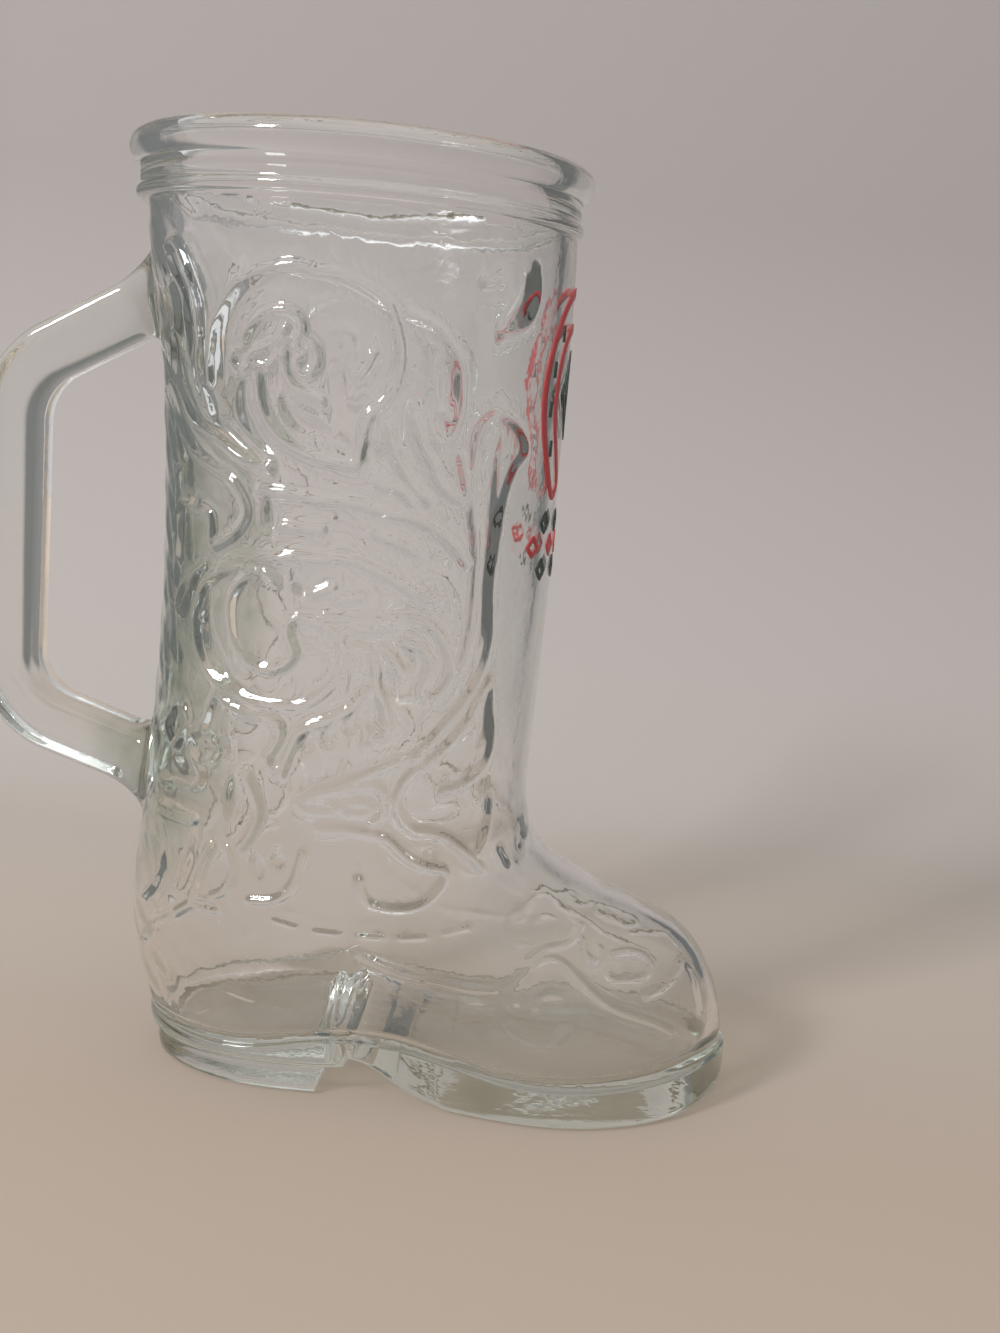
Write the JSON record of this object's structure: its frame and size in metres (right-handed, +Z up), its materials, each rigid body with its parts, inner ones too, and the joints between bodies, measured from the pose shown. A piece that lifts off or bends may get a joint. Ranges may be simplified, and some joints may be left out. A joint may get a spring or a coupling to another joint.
{
  "type": "boot beer glass",
  "caption": "Boot-shaped clear glass beer mug with a rolled lip, hollow leg and foot, solid sole and heel, a side handle and enamel line ornament on the front.",
  "frame": {"origin": "on the axis of the round mouth, at the table", "axes": "+X towards the toe, the handle on -X; +Z up to the lip; the part is mirror-symmetric across Y = 0"},
  "size_m": [0.1359, 0.0756, 0.156],
  "materials": {
    "glass": "clear, faintly green, polished",
    "red_enamel": "fired enamel, satin",
    "black_enamel": "fired enamel, satin"
  },
  "bodies": {
    "root": {"lip_bead": "glass", "neck_band": "glass", "mould_ring": "glass", "leg": "glass", "foot": "glass", "sole": "glass", "heel": "glass", "handle": "glass", "upper_pad": "glass", "lower_pad": "glass", "leg_scrolls": "glass", "foot_scrolls": "glass", "red_enamel": "red_enamel", "black_enamel": "black_enamel"}
  },
  "joints": []
}
